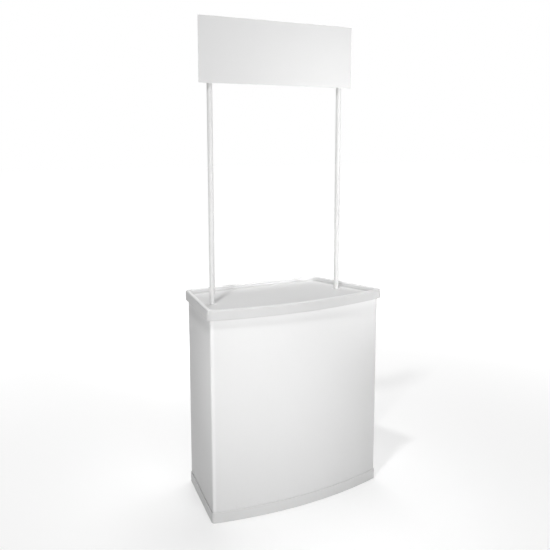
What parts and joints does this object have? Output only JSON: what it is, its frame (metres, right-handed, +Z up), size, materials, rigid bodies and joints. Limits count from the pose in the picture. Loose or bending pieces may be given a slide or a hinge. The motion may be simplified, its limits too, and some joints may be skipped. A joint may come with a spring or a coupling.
{
  "type": "exhibition counter",
  "caption": "Knock-down exhibition counter: tray top on a curved sheet body open at the back, with an inner shelf and a header board held up on two poles.",
  "frame": {"origin": "on the floor under the middle of the counter's outline", "axes": "+X to the right as a visitor in front sees it, +Y to the open back, +Z up"},
  "size_m": [0.8358, 0.4739, 2],
  "materials": {
    "moulded_white": "satin moulded",
    "sheet_white": "satin sheet",
    "board_white": "matt board",
    "tube_white": "powder coated",
    "fitting_white": "satin",
    "soft_grey": "matt",
    "steel": "zinc plated",
    "tape": "foam"
  },
  "bodies": {
    "stand": {"base_tray": "moulded_white", "body_sheet": "sheet_white", "base_rivets": "fitting_white", "foot_pads": "soft_grey", "post_left": "tube_white", "post_right": "tube_white", "shelf_collar_left": "fitting_white", "shelf_collar_right": "fitting_white", "collar_screws": "steel"},
    "loose_shelf": {"shelf": "moulded_white"},
    "tabletop": {"tray": "moulded_white", "pole_bush_left": "fitting_white", "pole_bush_right": "fitting_white"},
    "header_set": {"pole_left": "tube_white", "pole_right": "tube_white", "pole_spigot_left": "fitting_white", "pole_spigot_right": "fitting_white", "pole_cap_left": "fitting_white", "pole_cap_right": "fitting_white", "header_board": "board_white", "header_clip_left_lower": "fitting_white", "header_clip_left_upper": "fitting_white", "header_clip_right_lower": "fitting_white", "header_clip_right_upper": "fitting_white", "clip_tapes": "tape"}
  },
  "joints": [
    {"name": "tray_lift", "type": "slide", "parent": "stand", "child": "tabletop", "axis": [0, 0, 1], "range_m": [0, 0.06]},
    {"name": "header_lift", "type": "slide", "parent": "stand", "child": "header_set", "axis": [0, 0, 1], "range_m": [0, 0.05]},
    {"name": "shelf_lift", "type": "slide", "parent": "stand", "child": "loose_shelf", "axis": [0, 0, 1], "range_m": [0, 0.35]}
  ]
}
